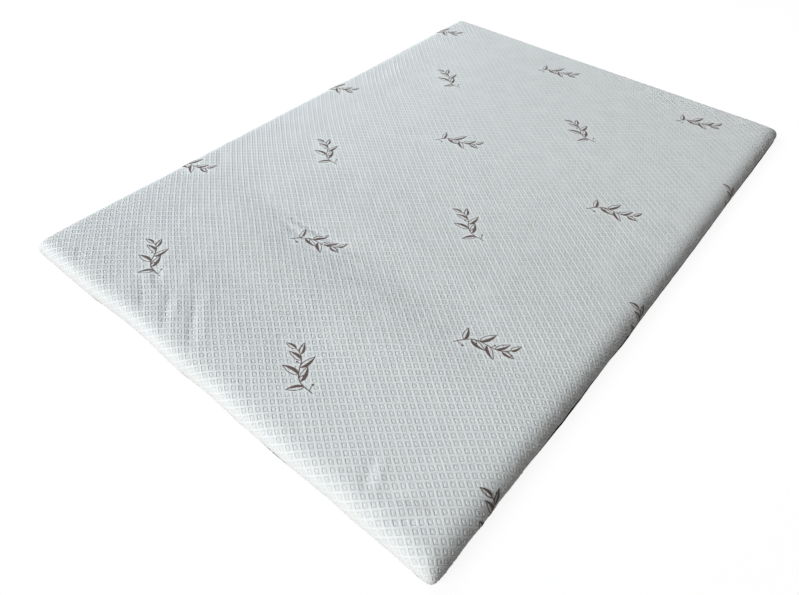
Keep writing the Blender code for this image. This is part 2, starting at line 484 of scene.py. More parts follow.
def wrap(u, v):
    """Return the points of the smooth cover that places on the flat cloth lie at."""
    over_u = np.maximum(np.abs(u) - SHOULDER_X, 0.0)
    over_v = np.maximum(np.abs(v) - SHOULDER_Y, 0.0)
    power = corner_power(u, v)
    over = (over_u ** power + over_v ** power) ** (1 / power)
    past = over > 0
    inverse = np.where(past, 1.0 / np.where(past, over, 1.0), 0.0)
    ratio = np.interp(over, EDGE_CLOTH, EDGE_OUT) * inverse
    x = np.sign(u) * (np.minimum(np.abs(u), SHOULDER_X) + ratio * over_u)
    y = np.sign(v) * (np.minimum(np.abs(v), SHOULDER_Y) + ratio * over_v)
    share = np.interp(over, EDGE_CLOTH, EDGE_SHARE)
    sunk = share * (crease_depth(x, y) + edge_fall(x, y))
    height = np.interp(over, EDGE_CLOTH, EDGE_RISE) + top_height(x, y) - sunk
    seam_share = np.clip((over / EDGE_REACH - 1.0 + SEAM_ZONE) / SEAM_ZONE, 0, 1)
    run = np.where(over_u > over_v, v, u)
    pucker = SEAM_PUCKER_DEPTH * seam_share * np.sin(2 * np.pi * run / SEAM_PUCKER_PITCH)
    x, y = drawn_in(x, y, 1.0 - SEAM_HOLD * seam_share)
    x = x - np.sign(u) * pucker * over_u * inverse
    y = y - np.sign(v) * pucker * over_v * inverse
    return np.stack((x, y, height), axis=-1)


def wrap_lifted(u, v, lift):
    """Return points of the cover, lifted off its smooth surface along its normals."""
    run_u = wrap(u + NORMAL_STEP, v) - wrap(u - NORMAL_STEP, v)
    run_v = wrap(u, v + NORMAL_STEP) - wrap(u, v - NORMAL_STEP)
    normal = np.cross(run_u, run_v)
    normal /= np.maximum(np.linalg.norm(normal, axis=-1, keepdims=True), SHORTEST)
    return wrap(u, v) + normal * lift[:, None]


def bump_sum(distance, reach):
    """Return the running total of a bump from its middle outwards."""
    near = np.clip(distance, -reach, reach)
    return 0.5 * near + reach / (2 * np.pi) * np.sin(np.pi * near / reach)


def pulled(u, v):
    """Return where places of the straight knit lie once it is pulled over the foam."""
    place = {"x": u, "y": v}
    moved = {"x": u.copy(), "y": v.copy()}
    for direction, along, middle, half, share in PULLS:
        moved[direction] += share * bump_sum(place[along] - middle, half)
    moved["y"] += ROW_SAG * u ** 2 * np.clip(v - ROW_SAG_START, 0.0, 1.0)
    return moved["x"], moved["y"]


# ---------------------------------------------------------------- mesh helpers


def mesh_points(mesh):
    """Return the points of a mesh as an array."""
    flat = np.empty(len(mesh.vertices) * 3)
    mesh.vertices.foreach_get("co", flat)
    return flat.reshape(-1, 3)


def set_mesh_points(mesh, points):
    """Move the points of a mesh."""
    mesh.vertices.foreach_set("co", points.astype(np.float32).ravel())
    mesh.update()


def point_values(mesh, name):
    """Return one number a point from a mesh's attribute."""
    values = np.empty(len(mesh.vertices), np.float32)
    mesh.attributes[name].data.foreach_get("value", values)
    return values


def set_point_values(mesh, name, values):
    """Store one number a point in a mesh's attribute."""
    layer = mesh.attributes.get(name) or mesh.attributes.new(name, "FLOAT", "POINT")
    layer.data.foreach_set("value", values.astype(np.float32))


def store_cloth_map(mesh, u, v):
    """Store places on the flat cloth as the mesh's UV map, in metres."""
    corners = np.empty(len(mesh.loops), np.int32)
    mesh.loops.foreach_get("vertex_index", corners)
    layer = mesh.uv_layers.get("cloth") or mesh.uv_layers.new(name="cloth")
    places = np.stack((u[corners], v[corners]), axis=-1)
    layer.data.foreach_set("uv", places.astype(np.float32).ravel())


def link_piece(name, mesh, material=None):
    """Add a mesh to the scene as a piece."""
    piece = bpy.data.objects.new(name, mesh)
    bpy.context.scene.collection.objects.link(piece)
    if material:
        mesh.materials.clear()
        mesh.materials.append(material)
    return piece


def panel_sides():
    """Return points and outward directions of the lines round the flat panel of cloth."""
    sides = [
        ((PANEL_X, 0.0), (1.0, 0.0)),
        ((-PANEL_X, 0.0), (-1.0, 0.0)),
        ((0.0, PANEL_Y), (0.0, 1.0)),
        ((0.0, -PANEL_Y), (0.0, -1.0)),
    ]
    steps = 9
    for sign_x in (-1, 1):
        for sign_y in (-1, 1):
            power = CORNER_POWERS[sign_x, sign_y]
            for step in range(1, steps):
                turn = 0.5 * math.pi * step / steps
                dx = math.cos(turn) ** (2 / power)
                dy = math.sin(turn) ** (2 / power)
                out = Vector((dx ** (power - 1), dy ** (power - 1))).normalized()
                x = sign_x * (SHOULDER_X + EDGE_REACH * dx)
                y = sign_y * (SHOULDER_Y + EDGE_REACH * dy)
                sides.append(((x, y), (sign_x * out.x, sign_y * out.y)))
    return sides


def trim_to_panel(mesh):
    """Cut a flat mesh off along the outline of the panel of cloth."""
    shape = bmesh.new()
    shape.from_mesh(mesh)
    for (x, y), (out_x, out_y) in panel_sides():
        everything = list(shape.verts) + list(shape.edges) + list(shape.faces)
        bmesh.ops.bisect_plane(
            shape, geom=everything, dist=1e-6, clear_outer=True,
            plane_co=(x, y, 0.0), plane_no=(out_x, out_y, 0.0),
        )
    bmesh.ops.remove_doubles(shape, verts=shape.verts, dist=TRIM_MERGE)
    bmesh.ops.triangulate(shape, faces=[face for face in shape.faces if len(face.verts) > 4])
    shape.to_mesh(mesh)
    shape.free()


def close_underside(mesh):
    """Close the open rim of the cover with a flat fan under the foam."""
    shape = bmesh.new()
    shape.from_mesh(mesh)
    cloth = shape.loops.layers.uv["cloth"]
    middle = shape.verts.new((0.0, 0.0, SEAM_HEIGHT))
    rim = [edge for edge in shape.edges if edge.is_boundary]
    for edge in rim:
        corner = edge.link_loops[0]
        start = corner.vert
        end = edge.other_vert(start)
        face = shape.faces.new((end, start, middle))
        for loop in face.loops:
            loop[cloth].uv = loop.vert.co.xy
    shape.to_mesh(mesh)
    shape.free()


# ---------------------------------------------------------------- node helpers


def new_geometry_tree(name, sizes):
    """Start a Geometry Nodes tree with named inputs. Sizes lists name, socket type, value."""
    tree = bpy.data.node_groups.new(name, "GeometryNodeTree")
    tree.interface.new_socket("Geometry", in_out="INPUT", socket_type="NodeSocketGeometry")
    identifiers = {}
    for label, kind, _ in sizes:
        socket = tree.interface.new_socket(label, in_out="INPUT", socket_type=kind)
        identifiers[label] = socket.identifier
    tree.interface.new_socket("Geometry", in_out="OUTPUT", socket_type="NodeSocketGeometry")
    return tree, identifiers


def add_node(tree, kind, inputs=None, **settings):
    """Add a node, give it its settings, and set or link its inputs."""
    node = tree.nodes.new(kind)
    for name, value in settings.items():
        setattr(node, name, value)
    for name, value in (inputs or {}).items():
        socket = node.inputs[name]
        if isinstance(value, bpy.types.NodeSocket):
            tree.links.new(value, socket)
        else:
            socket.default_value = value
    return node


def math_node(tree, operation, first, second=0.0, third=0.0):
    """Add a Math node and return its result."""
    node = add_node(tree, "ShaderNodeMath", {0: first, 1: second, 2: third}, operation=operation)
    return node.outputs[0]


def vector_node(tree, operation, *values):
    """Add a Vector Math node and return its outputs."""
    inputs = dict(enumerate(values))
    return add_node(tree, "ShaderNodeVectorMath", inputs, operation=operation).outputs


def random_node(tree, least, most, seed):
    """Add a Random Value node and return its number."""
    node = add_node(
        tree, "FunctionNodeRandomValue", {2: least, 3: most, "Seed": seed}, data_type="FLOAT"
    )
    return node.outputs[1]


def finish_tree(tree, geometry, material):
    """End a Geometry Nodes tree: make its instances real, give them a material, put them out."""
    real = add_node(tree, "GeometryNodeRealizeInstances", {"Geometry": geometry})
    painted = add_node(
        tree, "GeometryNodeSetMaterial", {"Geometry": real.outputs[0], "Material": material}
    )
    add_node(tree, "NodeGroupOutput", {0: painted.outputs[0]})


def run_tree(mesh, tree, identifiers, sizes):
    """Return the plain mesh that a Geometry Nodes tree makes of a mesh."""
    carrier = link_piece("carrier", mesh)
    modifier = carrier.modifiers.new("nodes", "NODES")
    modifier.node_group = tree
    for label, _, value in sizes:
        modifier[identifiers[label]] = value
    graph = bpy.context.evaluated_depsgraph_get()
    made = bpy.data.meshes.new_from_object(carrier.evaluated_get(graph))
    carrier.modifiers.remove(modifier)
    bpy.data.objects.remove(carrier)
    return made


def half_drop_points(tree, across, along, columns, rows):
    """Add the points of a half drop repeat to a tree, and return the two sets of points."""
    size_x = math_node(tree, "MULTIPLY", math_node(tree, "SUBTRACT", columns, 1.0), across)
    size_y = math_node(tree, "MULTIPLY", math_node(tree, "SUBTRACT", rows, 1.0), along)
    grid = add_node(
        tree, "GeometryNodeMeshGrid",
        {"Size X": size_x, "Size Y": size_y, "Vertices X": columns, "Vertices Y": rows},
    ).outputs["Mesh"]
    half_x = math_node(tree, "MULTIPLY", across, 0.5)
    half_y = math_node(tree, "MULTIPLY", along, 0.5)
    shift = add_node(tree, "ShaderNodeCombineXYZ", {"X": half_x, "Y": half_y}).outputs[0]
    dropped = add_node(tree, "GeometryNodeTransform", {"Geometry": grid, "Translation": shift})
    return grid, dropped.outputs["Geometry"]


# ---------------------------------------------------------------- diamond net


def diamond_tile(across, along):
    """Return a flat mesh of one diamond: an edge, a sunk ring and a raised middle."""
    mesh = bpy.data.meshes.new("diamond tile")
    corners = ((0.5 * across, 0.0), (0.0, 0.5 * along), (-0.5 * across, 0.0), (0.0, -0.5 * along))
    points = []
    levels = []
    rings = ((0.0, RIDGE_LEVEL), (RING_INSET, RING_LEVEL), (MIDDLE_INSET, MIDDLE_LEVEL))
    for inset, level in rings:
        for x, y in corners:
            points.append((x * (1 - inset), y * (1 - inset), 0.0))
            levels.append(level)
    faces = []
    for ring in (0, 4):
        for index in range(4):
            following = (index + 1) % 4
            faces.append((ring + index, ring + following, ring + 4 + following, ring + 4 + index))
    faces.append((8, 9, 10, 11))
    mesh.from_pydata(points, [], faces)
    set_point_values(mesh, "level", np.array(levels))
    return mesh


def flat_net(knit):
    """Return the flat knit, its diamonds laid side by side over more than the panel."""
    columns = 2 * math.ceil((PANEL_X + NET_MARGIN_X) / knit.across) + 1
    rows = 2 * math.ceil((PANEL_Y + NET_MARGIN_Y) / knit.along) + 1
    sizes = (
        ("Width", "NodeSocketFloat", knit.across),
        ("Length", "NodeSocketFloat", knit.along),
        ("Columns", "NodeSocketInt", columns),
        ("Rows", "NodeSocketInt", rows),
        ("Lean", "NodeSocketFloat", math.tan(knit.lean)),
    )
    tree, identifiers = new_geometry_tree("Diamond net", sizes)
    get = add_node(tree, "NodeGroupInput").outputs
    plain, dropped = half_drop_points(
        tree, get["Width"], get["Length"], get["Columns"], get["Rows"]
    )
    both = add_node(tree, "GeometryNodeJoinGeometry")
    tree.links.new(dropped, both.inputs[0])
    tree.links.new(plain, both.inputs[0])
    tiles = add_node(
        tree, "GeometryNodeInstanceOnPoints",
        {"Points": both.outputs[0], "Instance": get["Geometry"]},
    )
    real = add_node(tree, "GeometryNodeRealizeInstances", {"Geometry": tiles.outputs["Instances"]})
    joined = add_node(
        tree, "GeometryNodeMergeByDistance", {"Geometry": real.outputs[0], "Distance": TILE_MERGE}
    )
    place = add_node(tree, "GeometryNodeInputPosition").outputs[0]
    y = add_node(tree, "ShaderNodeSeparateXYZ", {0: place}).outputs["Y"]
    lean = math_node(tree, "MULTIPLY", math_node(tree, "MULTIPLY", y, get["Lean"]), -1.0)
    offset = add_node(tree, "ShaderNodeCombineXYZ", {"X": lean}).outputs[0]
    leaned = add_node(
        tree, "GeometryNodeSetPosition", {"Geometry": joined.outputs[0], "Offset": offset}
    )
    finish_tree(tree, leaned.outputs[0], bpy.data.materials["knitted cover"])
    return run_tree(diamond_tile(knit.across, knit.along), tree, identifiers, sizes)


# ---------------------------------------------------------------- leaf sprigs

# Width of the drawn lines of a sprig, and thickness of its yarn
LINE_WIDTH = 0.0016
SPRIG_THICKNESS = 0.0005
# How high the sprigs lie above the smooth cover
SPRIG_LIFT = 0.0006
# Where the repeat of the sprigs starts on the cloth, how unevenly they are turned, and the seed
SPRIG_START = (-0.10, 0.16)
SPRIG_UNEVENNESS = math.radians(2.0)
SPRIG_SEED = 7
# The curve of the stem, as shares of its length: sway, waves, where they start, where it ends
STEM_SWAY = 0.075
STEM_WAVES = 1.1
STEM_WAVE_START = 0.08
STEM_END = 0.92
STEM_STEPS = 20
# Width of the stem at its foot and how much it tapers, in line widths
STEM_WIDTH = 1.4
STEM_TAPER = 0.5
# Leaves of a sprig: share of the way up the stem, side, angle off it in degrees, length and width
# as shares of the sprig's length
SPRIG_LEAVES = (
    (0.16, 1, 50, 0.27, 0.100),
    (0.27, -1, 52, 0.31, 0.112),
    (0.41, 1, 48, 0.32, 0.115),
    (0.53, -1, 46, 0.30, 0.108),
    (0.66, 1, 42, 0.27, 0.100),
    (0.77, -1, 38, 0.23, 0.088),
    (0.90, 1, 6, 0.21, 0.084),
)
# How much a leaf bends, how near its base it is widest, and how blunt it is
LEAF_BEND = 0.10
LEAF_FULLNESS = 0.75
LEAF_BLUNTNESS = 0.9
# Berries of a sprig: share of the way up the stem, side, length of the stalk and radius as shares,
# and the angle of the stalks off the stem in degrees
SPRIG_BERRIES = (
    (0.06, -1, 0.105, 0.020),
    (0.345, -1, 0.060, 0.016),
    (0.60, 1, 0.060, 0.016),
    (0.86, -1, 0.085, 0.018),
)
STALK_ANGLE = 68
# How much finer than a drawn line a stalk is, and how far into its stalk a berry sits
STALK_WIDTH = 0.8
BERRY_SET = 0.8


def ribbon(points, widths):
    """Return the points and faces of a flat ribbon along a line."""
    line = np.array(points)
    run = np.gradient(line, axis=0)
    run /= np.linalg.norm(run, axis=1, keepdims=True)
    side = np.stack((-run[:, 1], run[:, 0]), axis=1) * (np.array(widths)[:, None] / 2)
    rim = np.concatenate((line - side, line + side))
    count = len(line)
    faces = [(step, step + 1, count + step + 1, count + step) for step in range(count - 1)]
    return rim, faces


def leaf(base, angle, length, width):
    """Return the points and faces of a leaf: one blade filled, the other drawn as a line."""
    steps = 8
    share = np.linspace(0.0, 1.0, steps + 1)
    spine = np.stack((share * length, LEAF_BEND * length * share ** 2), axis=1)
    bulge = 0.5 * width * np.sin(np.pi * share ** LEAF_FULLNESS) ** LEAF_BLUNTNESS
    out = np.stack((np.zeros(steps + 1), bulge), axis=1)
    count = steps + 1
    faces = [(step, count + step, count + step + 1, step + 1) for step in range(steps)]
    rim, rim_faces = ribbon(spine + out, np.full(count, LINE_WIDTH))
    faces += [tuple(2 * count + index for index in face) for face in rim_faces]
    points = np.concatenate((spine, spine - out, rim))
    turn = np.array(((math.cos(angle), math.sin(angle)), (-math.sin(angle), math.cos(angle))))
    return points @ turn + np.array(base), faces


def berry(middle, radius):
    """Return the points and faces of a round berry."""
    sides = 8
    turns = np.arange(sides) * 2 * np.pi / sides
    rim = np.stack((np.cos(turns), np.sin(turns)), axis=1) * radius + np.array(middle)
    return rim, [tuple(range(sides))]


def stem_place(share, length):
    """Return a place on the curved stem, and its direction there."""
    turns = 2 * math.pi * STEM_WAVES
    angle = turns * (share - STEM_WAVE_START)
    x = (share - 0.5) * length
    y = STEM_SWAY * length * math.sin(angle)
    return (x, y), math.atan(STEM_SWAY * turns * math.cos(angle))


def sprig_motif(length):
    """Return a flat mesh of one leaf sprig, its stem along x."""
    shares = np.linspace(0.0, STEM_END, STEM_STEPS)
    line = [stem_place(share, length)[0] for share in shares]
    parts = [ribbon(line, LINE_WIDTH * (STEM_WIDTH - STEM_TAPER * shares))]
    for share, side, angle, leaf_length, leaf_width in SPRIG_LEAVES:
        base, run = stem_place(share, length)
        turn = run + side * math.radians(angle)
        parts.append(leaf(base, turn, leaf_length * length, leaf_width * length))
    for share, side, stalk, radius in SPRIG_BERRIES:
        base, run = stem_place(share, length)
        turn = run + side * math.radians(STALK_ANGLE)
        step = np.array((math.cos(turn), math.sin(turn)))
        ends = [np.array(base) + step * stalk * length * part for part in (0.0, 0.5, 1.0)]
        parts.append(ribbon(ends, np.full(3, STALK_WIDTH * LINE_WIDTH)))
        parts.append(berry(ends[-1] + step * radius * length * BERRY_SET, radius * length))
    points = []
    faces = []
    for part_points, part_faces in parts:
        first = len(points)
        points += [(x, y, 0.0) for x, y in part_points]
        faces += [tuple(first + index for index in face) for face in part_faces]
    mesh = bpy.data.meshes.new("sprig motif")
    mesh.from_pydata(points, [], faces)
    return mesh


def flat_sprigs(sprigs):
    """Return the flat sprigs in their half drop repeat, trimmed to the panel of cloth."""
    columns = 2 * math.ceil(PANEL_X / sprigs.spacing_across) + 1
    rows = 2 * math.ceil(PANEL_Y / sprigs.spacing_along) + 1
    sizes = (
        ("Spacing across", "NodeSocketFloat", sprigs.spacing_across),
        ("Spacing along", "NodeSocketFloat", sprigs.spacing_along),
        ("Columns", "NodeSocketInt", columns),
        ("Rows", "NodeSocketInt", rows),
        ("Tilt", "NodeSocketFloat", sprigs.tilt),
        ("Unevenness", "NodeSocketFloat", SPRIG_UNEVENNESS),
        ("Seed", "NodeSocketInt", SPRIG_SEED),
    )
    tree, identifiers = new_geometry_tree("Sprig repeat", sizes)
    get = add_node(tree, "NodeGroupInput").outputs
    plain, dropped = half_drop_points(
        tree, get["Spacing across"], get["Spacing along"], get["Columns"], get["Rows"]
    )
    least = math_node(tree, "MULTIPLY", get["Unevenness"], -1.0)
    joined = add_node(tree, "GeometryNodeJoinGeometry")
    for points, side in ((plain, 1.0), (dropped, -1.0)):
        uneven = random_node(tree, least, get["Unevenness"], get["Seed"])
        turn = math_node(tree, "MULTIPLY_ADD", get["Tilt"], side, uneven)
        if side < 0:
            turn = math_node(tree, "ADD", turn, math.pi)
        rotation = add_node(tree, "ShaderNodeCombineXYZ", {"Z": turn}).outputs[0]
        motifs = add_node(
            tree, "GeometryNodeInstanceOnPoints",
            {"Points": points, "Instance": get["Geometry"], "Rotation": rotation},
        )
        tree.links.new(motifs.outputs["Instances"], joined.inputs[0])
    finish_tree(tree, joined.outputs[0], bpy.data.materials["sprig yarn"])
    mesh = run_tree(sprig_motif(sprigs.length), tree, identifiers, sizes)
    set_mesh_points(mesh, mesh_points(mesh) + np.array((*SPRIG_START, 0.0)))
    trim_to_panel(mesh)
    return mesh


# ---------------------------------------------------------------- stretch of the knit

# How flat the knit is stretched over the left and near edges, over the far and right ones, and
# towards the near right, and how much more it stands up at the far left
EDGE_CALM = 0.70
FAR_EDGE_CALM = 0.50
NEAR_RIGHT_CALM = 0.50
FAR_RAISE = 0.10
# Where each of these starts and where it is whole, in metres on the cloth. Over the right edge the
# knit is flat only in the far half, and at the far left it stands up only on the top
EDGE_RANGE = (0.1 * EDGE_REACH, 0.6 * EDGE_REACH)
FAR_EDGE_RANGE = (-0.02, 0.3 * EDGE_REACH)
RIGHT_EDGE_RANGE = (0.0, 0.5 * EDGE_REACH)
TOP_RANGE = (-0.04, 0.0)
RIGHT_RANGE = (-0.4, 0.4)
NEAR_RIGHT_RANGE = (0.5, 1.4)
NEAR_RIGHT_SLANT = 0.8
FAR_LEFT_RANGE = (0.1, 0.7)
FAR_LEFT_SLANT = 0.5
# How far from a sprig's yarn the knit is calm, and starts to stand up, and how much of that shows
# in its colour
CALM_NEAR = 0.0045
CALM_FAR = 0.0120
CALM_TINT = 0.45


def calm_values(u, v, sprig_points):
    """Return how calm the knit is: 1 under the sprigs, 0 away from them."""
    tree = KDTree(len(sprig_points))
    for index, point in enumerate(sprig_points):
        tree.insert((point[0], point[1], 0.0), index)
    tree.balance()
    distance = np.array([tree.find((x, y, 0.0))[2] for x, y in zip(u, v)])
    return 1.0 - smooth_step(distance, CALM_NEAR, CALM_FAR)


def stretch_values(u, v):
    """Return how flat the knit is stretched: 1 is quite flat, below 0 it stands up more."""
    past_left_or_near = np.maximum(-u - SHOULDER_X, -v - SHOULDER_Y)
    at_edge = EDGE_CALM * smooth_step(past_left_or_near, *EDGE_RANGE)
    near_right = NEAR_RIGHT_CALM * smooth_step(NEAR_RIGHT_SLANT * u - v, *NEAR_RIGHT_RANGE)
    at_far = smooth_step(v - SHOULDER_Y, *FAR_EDGE_RANGE)
    at_right = smooth_step(u - SHOULDER_X, *RIGHT_EDGE_RANGE) * smooth_step(v, *RIGHT_RANGE)
    at_far_edge = FAR_EDGE_CALM * np.maximum(at_far, at_right)
    past_top = np.maximum(np.abs(u) - SHOULDER_X, v - SHOULDER_Y)
    on_top = 1.0 - smooth_step(past_top, *TOP_RANGE)
    far_left = FAR_RAISE * smooth_step(v - FAR_LEFT_SLANT * u, *FAR_LEFT_RANGE) * on_top
    return np.maximum(np.maximum(at_edge, at_far_edge), near_right) - far_left


# ---------------------------------------------------------------- materials

# Across a diamond, from its middle at 0 to its ridge at 0.5: place and paleness, place and height.
# The grey of the sunk ring and of the dimple in the middle is partly yarn colour and partly painted
# shade
DIAMOND_PALENESS_AND_SHADE = (
    (0.030, 0.30), (0.075, 0.85), (0.175, 0.90), (0.215, 0.0), (0.315, 0.0), (0.360, 1.0),
)
DIAMOND_HEIGHTS = (
    (0.0, 0.45), (0.08, 0.52), (0.16, 0.48), (0.225, 0.0), (0.30, 0.0), (0.375, 1.0),
)
# Height of the fine relief of the knit, and share of it that its stitches have
KNIT_RELIEF = 0.0018
STITCH_SHARE = 0.35
# Height of the fine relief of sprigs, base cloth and thread
YARN_RELIEF = 0.0003
# How fine the patches are: faded rings, cool and warm tints, yarn and rough lines of the knit,
# blotches of the sprigs, grain of the base cloth and of the thread
FADED_SCALE = 15.0
TINT_SCALE = 26.0
YARN_SCALE = 900.0
ROUGH_SCALE = 420.0
BLOTCH_SCALE = 380.0
BASE_GRAIN_SCALE = 900.0
THREAD_GRAIN_SCALE = 2500.0
COOL_TINT = (0.94, 0.97, 1.0, 1.0)
WARM_TINT = (1.0, 0.985, 0.96, 1.0)
# Width of a stitch column and height of a stitch row of the knit
STITCH_COLUMN = 0.0013
STITCH_ROW = 0.0011
# How far the lines of the diamonds are out of true
LINE_JITTER = 0.0016


def new_material(name, colour, roughness, sheen):
    """Return a cloth material, its tree and its shader."""
    material = bpy.data.materials.new(name)
    material.use_nodes = True
    tree = material.node_tree
    shader = tree.nodes["Principled BSDF"]
    shader.inputs["Base Color"].default_value = (*colour, 1.0)
    shader.inputs["Roughness"].default_value = roughness
    shader.inputs["Sheen Weight"].default_value = sheen
    shader.inputs["Sheen Roughness"].default_value = 0.5
    shader.inputs["Specular IOR Level"].default_value = 0.25
    return material, tree, shader


def ramp(tree, factor, stops, interpolation="LINEAR"):
    """Add a colour ramp of grey levels and return its colour. Stops lists place and level."""
    node = add_node(tree, "ShaderNodeValToRGB", {"Fac": factor})
    band = node.color_ramp
    band.interpolation = interpolation
    while len(band.elements) > 1:
        band.elements.remove(band.elements[0])
    first_place, first_level = stops[0]
    band.elements[0].position = first_place
    band.elements[0].color = (first_level, first_level, first_level, 1.0)
    for place, level in stops[1:]:
        band.elements.new(place).color = (level, level, level, 1.0)
    return node.outputs["Color"]


def noise(tree, place, scale, detail):
    """Add a noise texture and return its outputs."""
    inputs = {"Vector": place, "Scale": scale, "Detail": detail}
    return add_node(tree, "ShaderNodeTexNoise", inputs).outputs


def mix_colour(tree, factor, first, second, blend="MIX"):
    """Add a colour Mix node and return its result."""
    inputs = {0: factor, 6: first, 7: second}
    node = add_node(tree, "ShaderNodeMix", inputs, data_type="RGBA", blend_type=blend)
    return node.outputs[2]


def toned(tree, colour, factor, stops):
    """Return a colour made darker and lighter by a factor, by way of a ramp."""
    return mix_colour(tree, 1.0, colour, ramp(tree, factor, stops), "MULTIPLY")


def add_relief(tree, shader, height, strength, distance):
    """Give a shader fine relief from a height."""
    inputs = {"Strength": strength, "Distance": distance, "Height": height}
    relief = add_node(tree, "ShaderNodeBump", inputs)
    tree.links.new(relief.outputs[0], shader.inputs["Normal"])


def stitch_height(tree, cloth):
    """Add the fine ribs of the knit's stitches and return their height."""
    parts = add_node(tree, "ShaderNodeSeparateXYZ", {0: cloth}).outputs
    column = math_node(tree, "MULTIPLY", parts["X"], 1 / STITCH_COLUMN)
    row = math_node(tree, "MULTIPLY", parts["Y"], 1 / STITCH_ROW)
    ribs = math_node(tree, "PINGPONG", column, 0.5)
    return math_node(tree, "ADD", ribs, math_node(tree, "PINGPONG", row, 0.5))


def diamond_place(tree, knit, cloth):
    """Return how far into its diamond a place lies: 0 in the middle, 0.5 on the ridge."""
    rough = noise(tree, cloth, ROUGH_SCALE, 1.0)["Color"]
    centred = vector_node(tree, "SUBTRACT", rough, (0.5, 0.5, 0.5))[0]
    uneven = vector_node(tree, "MULTIPLY_ADD", centred, (LINE_JITTER,) * 3, cloth)[0]
    lean = math.tan(knit.lean)
    rising = (1 / knit.across, lean / knit.across + 1 / knit.along, 0.0)
    falling = (-1 / knit.across, -lean / knit.across + 1 / knit.along, 0.0)
    waves = []
    for direction in (rising, falling):
        count = vector_node(tree, "DOT_PRODUCT", uneven, direction)["Value"]
        waves.append(math_node(tree, "PINGPONG", count, 0.5))
    return math_node(tree, "MAXIMUM", *waves)


def knit_material(knit):
    """Make the knit: pale ridges, grey rings and dimples partly darkened with painted shade of
    their hollows, pale middles, fine stitches and mottling.
    """
    material, tree, shader = new_material(
        "knitted cover", knit.line_colour, roughness=0.88, sheen=0.12
    )
    cloth = add_node(tree, "ShaderNodeUVMap", uv_map="cloth").outputs[0]
    calm = add_node(tree, "ShaderNodeAttribute", attribute_name="calm").outputs["Fac"]
    place = diamond_place(tree, knit, cloth)
    patches = noise(tree, cloth, FADED_SCALE, 2.0)["Fac"]
    faded = ramp(tree, patches, ((0.42, 0.0), (0.64, 0.55)))
    # Paleness across the diamond: the grey of the sunk ring and the middle dimple is partly painted
    # shade, and where the knit is calm it fades along with the relief
    pale = math_node(tree, "MAXIMUM", ramp(tree, place, DIAMOND_PALENESS_AND_SHADE), faded)
    pale = math_node(tree, "MAXIMUM", pale, calm)
    colour = mix_colour(tree, pale, (*knit.ring_yarn_and_shade_colour, 1.0), (*knit.line_colour, 1.0))
    tint = mix_colour(tree, noise(tree, cloth, TINT_SCALE, 3.0)["Fac"], COOL_TINT, WARM_TINT)
    colour = mix_colour(tree, 1.0, colour, tint, "MULTIPLY")
    yarn = noise(tree, cloth, YARN_SCALE, 1.0)["Fac"]
    colour = toned(tree, colour, yarn, ((0.25, 0.90), (0.75, 1.0)))
    tree.links.new(colour, shader.inputs["Base Color"])
    ridge = ramp(tree, place, DIAMOND_HEIGHTS, "EASE")
    height = math_node(tree, "MULTIPLY_ADD", stitch_height(tree, cloth), STITCH_SHARE, ridge)
    height = math_node(tree, "MULTIPLY", height, math_node(tree, "SUBTRACT", 1.0, calm))
    add_relief(tree, shader, height, strength=1.0, distance=KNIT_RELIEF)
    return material


def yarn_material(sprigs):
    """Make the yarn of the sprigs: brown grey, in close satin rows."""
    material, tree, shader = new_material("sprig yarn", sprigs.colour, roughness=0.75, sheen=0.15)
    cloth = add_node(tree, "ShaderNodeUVMap", uv_map="cloth").outputs[0]
    blotch = noise(tree, cloth, BLOTCH_SCALE, 2.0)["Fac"]
    colour = toned(tree, (*sprigs.colour, 1.0), blotch, ((0.30, 0.75), (0.70, 1.30)))
    tree.links.new(colour, shader.inputs["Base Color"])
    add_relief(tree, shader, stitch_height(tree, cloth), strength=0.4, distance=YARN_RELIEF)
    return material


def woven_material(name, colour, scale):
    """Make a plain cloth or thread, with a fine grain."""
    material, tree, shader = new_material(name, colour, roughness=0.9, sheen=0.05)
    place = add_node(tree, "ShaderNodeTexCoord").outputs["Object"]
    grain = noise(tree, place, scale, 2.0)["Fac"]
    mixed = toned(tree, (*colour, 1.0), grain, ((0.30, 0.65), (0.70, 1.35)))
    tree.links.new(mixed, shader.inputs["Base Color"])
    add_relief(tree, shader, grain, strength=0.5, distance=YARN_RELIEF)
    return material


def floor_material(stage):
    """Make the plain pale floor."""
    material, _, shader = new_material(
        "pale floor", stage.floor_colour, roughness=0.95, sheen=0.0
    )
    shader.inputs["Emission Color"].default_value = WHITE
    shader.inputs["Emission Strength"].default_value = stage.floor_glow
    return material


# ---------------------------------------------------------------- base cloth and seam

# Where the near-black base cloth shows past the lower edge of the cover, as a dark line that is
# partly the cloth and partly painted contact shadow: side, middle, half length, how far
BASE_AND_SHADOW_PEEKS = (
    ("right", 0.15, 1.70, 0.0046),
    ("right", -0.52, 0.22, 0.0022),
    ("right", -0.22, 0.10, 0.0012),
    ("right", 0.85, 0.40, 0.0026),
    ("near", -0.42, 0.10, 0.0024),
    ("near", -0.04, 0.05, 0.0022),
    ("near", 0.27, 0.12, 0.0030),
    ("near", 0.66, 0.03, 0.0024),
    ("left", -0.30, 0.20, 0.0010),
    ("left", 0.50, 0.25, 0.0010),
    ("far", 0.10, 0.30, 0.0010),
)
# How far the rest of its rim lies inside the cover's, and how much thinner than the solid it is
BASE_INSET = 0.0010
BASE_GAP = 0.0001
# Rings of points round the base cloth: how far each lies inside the rim, and its share of the
# height
BASE_RINGS = (
    (0.0300, 0.0),
    (0.0006, 0.0),
    (0.0, 0.35),
    (0.0004, 0.8),
    (0.0014, 1.0),
    (0.0300, 1.0),
)
# Distance between points of the rim, and steps round each of its corners
RIM_PITCH = 0.010
RIM_CORNER_STEPS = 14
